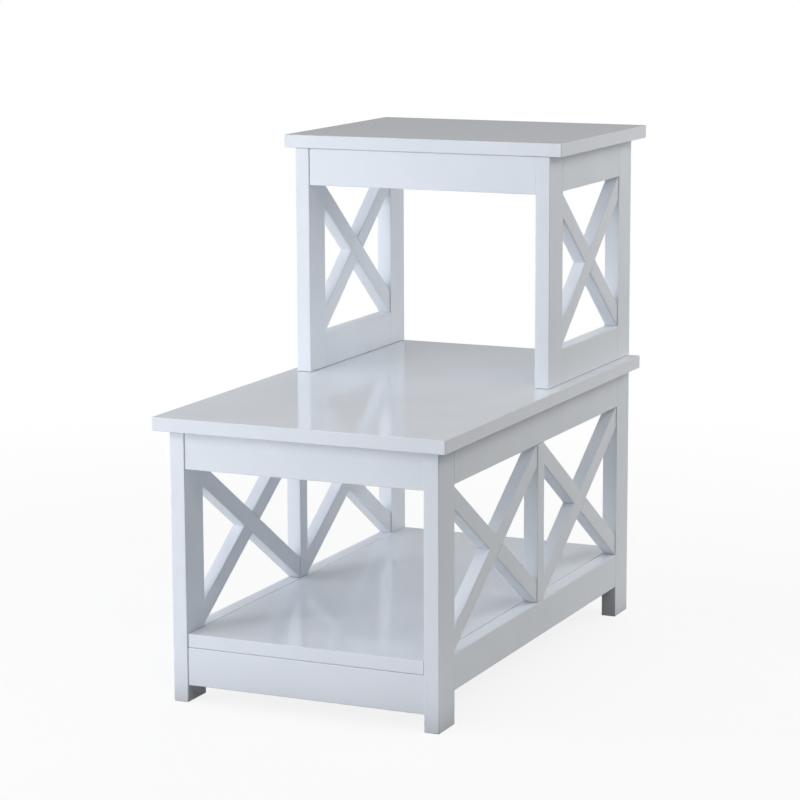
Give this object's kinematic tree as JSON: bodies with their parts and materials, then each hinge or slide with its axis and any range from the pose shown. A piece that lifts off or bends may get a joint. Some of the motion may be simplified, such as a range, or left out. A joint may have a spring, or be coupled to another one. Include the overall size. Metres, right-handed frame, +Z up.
{
  "type": "step end table",
  "caption": "White painted step end table: a long lower table with shelf, a short raised top standing on its rear part, and open sides with crossed diagonal slats.",
  "frame": {"origin": "on the floor, under the middle of the whole table's outline", "axes": "+Z up, -Y to the front where the low top is, +Y to the rear where the raised top is, +X to the right as seen from the front"},
  "size_m": [0.352, 0.619, 0.609],
  "materials": {
    "frame_paint": "satin white paint on solid wood",
    "panel_paint": "semi-gloss white paint on board",
    "dowel_beech": "bare beech, hidden in the joints",
    "screw_zinc": "zinc-plated steel, sunk in counterbores"
  },
  "bodies": {
    "root": {"bottom_shelf": "panel_paint", "lower_top": "panel_paint", "upper_top": "panel_paint", "leg_front_left": "frame_paint", "leg_front_right": "frame_paint", "leg_rear_left": "frame_paint", "leg_rear_right": "frame_paint", "lower_top_rail_left": "frame_paint", "lower_top_rail_right": "frame_paint", "lower_bottom_rail_left": "frame_paint", "lower_bottom_rail_right": "frame_paint", "centre_stile_left": "frame_paint", "centre_stile_right": "frame_paint", "lower_slat_front_rising_left": "frame_paint", "lower_slat_front_rising_right": "frame_paint", "lower_slat_front_falling_left": "frame_paint", "lower_slat_front_falling_right": "frame_paint", "lower_slat_rear_rising_left": "frame_paint", "lower_slat_rear_rising_right": "frame_paint", "lower_slat_rear_falling_left": "frame_paint", "lower_slat_rear_falling_right": "frame_paint", "lower_front_apron": "frame_paint", "lower_rear_apron": "frame_paint", "front_stretcher": "frame_paint", "rear_stretcher": "frame_paint", "upper_front_apron": "frame_paint", "upper_rear_apron": "frame_paint", "post_front_left": "frame_paint", "post_front_right": "frame_paint", "post_rear_left": "frame_paint", "post_rear_right": "frame_paint", "upper_top_rail_left": "frame_paint", "upper_top_rail_right": "frame_paint", "upper_bottom_rail_left": "frame_paint", "upper_bottom_rail_right": "frame_paint", "upper_slat_rising_left": "frame_paint", "upper_slat_rising_right": "frame_paint", "upper_slat_falling_left": "frame_paint", "upper_slat_falling_right": "frame_paint", "dowel_lower_front_apron_left": "dowel_beech", "dowel_lower_front_apron_right": "dowel_beech", "dowel_lower_rear_apron_left": "dowel_beech", "dowel_lower_rear_apron_right": "dowel_beech", "dowel_front_stretcher_left": "dowel_beech", "dowel_front_stretcher_right": "dowel_beech", "dowel_rear_stretcher_left": "dowel_beech", "dowel_rear_stretcher_right": "dowel_beech", "dowel_upper_front_apron_left": "dowel_beech", "dowel_upper_front_apron_right": "dowel_beech", "dowel_upper_rear_apron_left": "dowel_beech", "dowel_upper_rear_apron_right": "dowel_beech", "post_dowel_front_left": "dowel_beech", "post_dowel_front_right": "dowel_beech", "post_dowel_rear_left": "dowel_beech", "post_dowel_rear_right": "dowel_beech", "shelf_screw_front": "screw_zinc", "shelf_screw_rear": "screw_zinc", "lower_top_screw": "screw_zinc", "upper_top_screw_front": "screw_zinc", "upper_top_screw_rear": "screw_zinc"}
  },
  "joints": []
}
